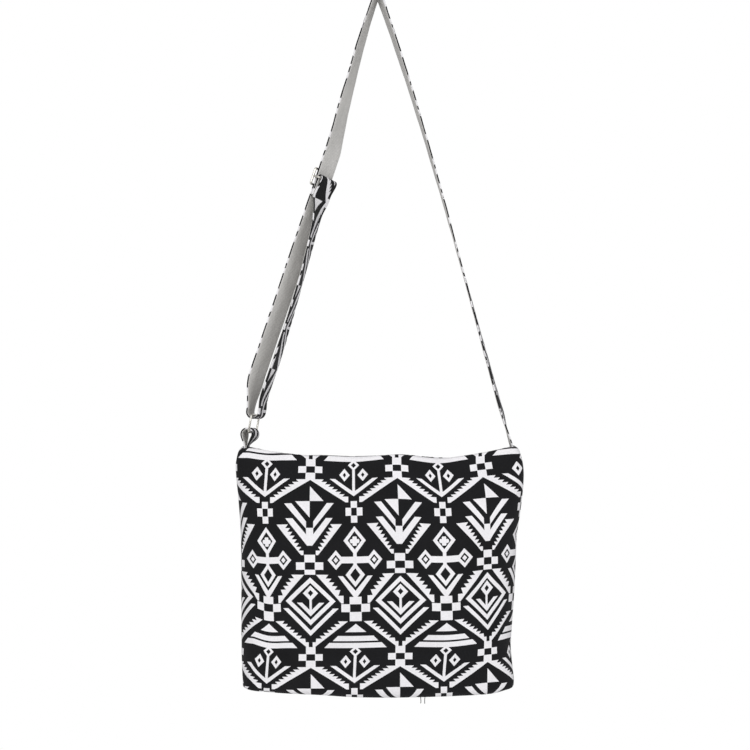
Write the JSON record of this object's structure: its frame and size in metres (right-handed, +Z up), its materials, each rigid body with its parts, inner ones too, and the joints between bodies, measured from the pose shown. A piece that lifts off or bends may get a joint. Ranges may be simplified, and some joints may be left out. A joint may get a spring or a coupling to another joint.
{
  "type": "crossbody bag",
  "caption": "Soft cloth crossbody bag with a zip top, hanging by its adjustable strap from a hook.",
  "frame": {"origin": "under the middle of the bag, at the level of its bottom, with the bag hanging by its strap", "axes": "+Z up, -Y out of the bag's front, +X towards the corner that the strap is sewn into"},
  "size_m": [0.2844, 0.0726, 0.6977],
  "materials": {
    "printed_cloth": "woven, matt",
    "grey_backing": "woven, matt",
    "lining_cloth": "fine weave",
    "zip_tape_cloth": "woven tape",
    "zip_nylon": "satin",
    "nickel_plate": "plated, polished"
  },
  "bodies": {
    "bag": {"front_panel": "printed_cloth", "back_panel": "printed_cloth", "lining": "lining_cloth", "zip_tape_front": "zip_tape_cloth", "zip_tape_back": "zip_tape_cloth", "zip_teeth_front": "zip_nylon", "zip_teeth_back": "zip_nylon", "zip_top_stop_front": "nickel_plate", "zip_top_stop_back": "nickel_plate", "zip_bottom_stop": "nickel_plate", "ring_tab": "printed_cloth", "strap_face": "printed_cloth", "strap_backing": "grey_backing", "strap_return_face": "printed_cloth", "strap_return_backing": "grey_backing"},
    "ring": {"ring": "nickel_plate"},
    "tri_glide": {"tri_glide": "nickel_plate"},
    "zip_slider": {"zip_slider": "nickel_plate"},
    "zip_pull": {"zip_pull": "nickel_plate"}
  },
  "joints": [
    {"name": "zip_slide", "type": "slide", "parent": "bag", "child": "zip_slider", "axis": [1, 0, 0], "range_m": [-0.208, 0]},
    {"name": "pull_hinge", "type": "hinge", "parent": "zip_slider", "child": "zip_pull", "pos_m": [0.1041, 0, 0.2309], "axis": [0, 1, 0], "range_deg": [0, 150]},
    {"name": "strap_length_slide", "type": "slide", "parent": "bag", "child": "tri_glide", "axis": [0.3206, 0, 0.9472], "range_m": [-0.11, 0.018], "deforming": ["strap_return_face", "strap_return_backing"]},
    {"name": "ring_hinge", "type": "hinge", "parent": "bag", "child": "ring", "pos_m": [-0.127, 0, 0.2597], "axis": [0.1879, 0.9816, -0.0331], "range_deg": [-4, 4]}
  ]
}
